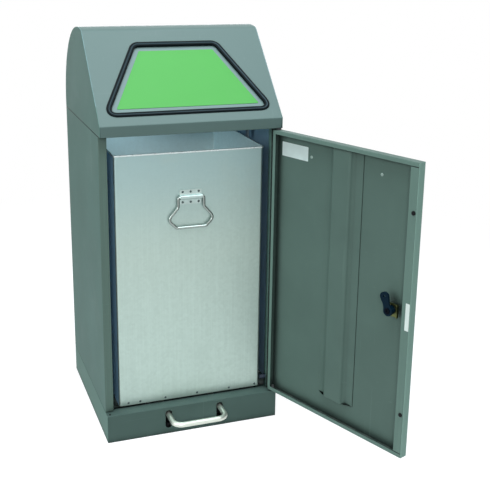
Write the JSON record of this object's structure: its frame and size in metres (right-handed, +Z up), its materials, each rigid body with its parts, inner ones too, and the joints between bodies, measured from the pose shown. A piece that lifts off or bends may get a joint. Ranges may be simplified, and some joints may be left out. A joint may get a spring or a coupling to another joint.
{
  "type": "pedal recycling bin",
  "caption": "Sheet-steel recycling bin with a sloped hood, a pedal-worked inward flap behind a trapezoid opening, a lockable hinged front door and a loose inner container.",
  "frame": {"origin": "centre of the 400 x 400 mm footprint of the plinth, on the floor", "axes": "+X to the right as the user faces the bin (hinge side of the door), -Y out of the front, +Z up"},
  "size_m": [0.5421, 0.7657, 0.895],
  "materials": {
    "side_paint": "satin enamel",
    "hood_paint": "satin enamel",
    "plinth_paint": "satin enamel",
    "door_paint": "satin enamel",
    "insert_green": "satin green sheet",
    "trim_rubber": "black extruded rubber",
    "buffer_rubber": "black rubber",
    "guide_plastic": "blue-grey plastic",
    "bush_plastic": "white plastic",
    "galvanised": "galvanised sheet",
    "plain_sheet": "galvanised sheet",
    "stainless": "polished round bar",
    "drive_steel": "zinc-plated steel",
    "fastener_steel": "zinc-plated steel",
    "spring_steel": "bright spring wire",
    "lock_black": "black plastic",
    "lock_brass": "dull brass",
    "lock_steel": "nickel-plated",
    "screw_black": "blackened steel"
  },
  "bodies": {
    "cabinet": {"plinth_shell": "plinth_paint", "base_plate": "plain_sheet", "pedal_buffers": "buffer_rubber", "bearing_left": "plain_sheet", "bearing_right": "plain_sheet", "bearing_bushes": "bush_plastic", "bearing_screws": "fastener_steel", "return_springs": "spring_steel", "floor_panel": "plain_sheet", "floor_runners": "plain_sheet", "left_panel": "side_paint", "right_panel": "side_paint", "back_panel": "side_paint", "guide_buffers": "guide_plastic", "rod_guides": "plain_sheet", "hood_wrap": "hood_paint", "hood_side_left": "side_paint", "hood_side_right": "side_paint", "opening_trim": "trim_rubber", "flap_bearings": "hood_paint", "hinge_pins": "drive_steel", "joint_screws": "fastener_steel"},
    "pedal": {"pedal_bow": "stainless", "pedal_shaft": "drive_steel", "shaft_collars": "drive_steel", "lift_arm": "drive_steel"},
    "push_rod": {"push_rod": "drive_steel", "rod_pins": "drive_steel"},
    "flap": {"flap_panel": "hood_paint", "flap_insert": "insert_green", "flap_arms": "hood_paint", "flap_shaft": "drive_steel", "flap_crank": "drive_steel", "flap_collars": "drive_steel"},
    "door": {"door_skin": "door_paint", "door_stiffener": "door_paint", "door_bushes": "bush_plastic", "door_buffers": "buffer_rubber", "door_rivets": "door_paint", "lock_barrel": "lock_black", "lock_clip": "lock_brass"},
    "lock": {"lock_core": "lock_steel", "lock_lever": "lock_black", "lock_screw": "screw_black"},
    "container": {"container_body": "galvanised", "container_base": "galvanised", "container_rim": "galvanised", "base_rivets": "fastener_steel", "handle_bracket": "galvanised", "bracket_rivets": "fastener_steel"},
    "bail": {"bail_handle": "stainless"}
  },
  "joints": [
    {"name": "pedal_press", "type": "hinge", "parent": "cabinet", "child": "pedal", "pos_m": [0, -0.11, 0.0465], "axis": [1, 0, 0], "range_deg": [0, 12], "stiffness_Nm_per_rad": 12, "springref_deg": -17.19, "deforming": ["return_springs"]},
    {"name": "rod_lift", "type": "slide", "parent": "cabinet", "child": "push_rod", "axis": [0, 0, 1], "range_m": [0, 0.01952]},
    {"name": "flap_swing", "type": "hinge", "parent": "cabinet", "child": "flap", "pos_m": [0, -0.03536, 0.86538], "axis": [1, 0, 0], "range_deg": [0, 55]},
    {"name": "door_swing", "type": "hinge", "parent": "cabinet", "child": "door", "pos_m": [0.194, -0.194, 0.3775], "axis": [0, 0, 1], "range_deg": [-111.2, 8.8]},
    {"name": "lock_turn", "type": "hinge", "parent": "door", "child": "lock", "pos_m": [0.30348, -0.5205, 0.3775], "axis": [0.9323, 0.3616, 0], "range_deg": [0, 90]},
    {"name": "container_slide", "type": "slide", "parent": "cabinet", "child": "container", "axis": [0, -1, 0], "range_m": [0, 0.3]},
    {"name": "bail_swing", "type": "hinge", "parent": "container", "child": "bail", "pos_m": [0, -0.1775, 0.546], "axis": [-1, 0, 0], "range_deg": [0, 110]}
  ],
  "couplings": [
    {"joint": "rod_lift", "follows": "pedal_press", "m_per_rad": 0.093217},
    {"joint": "flap_swing", "follows": "pedal_press", "ratio": 4.5833}
  ]
}
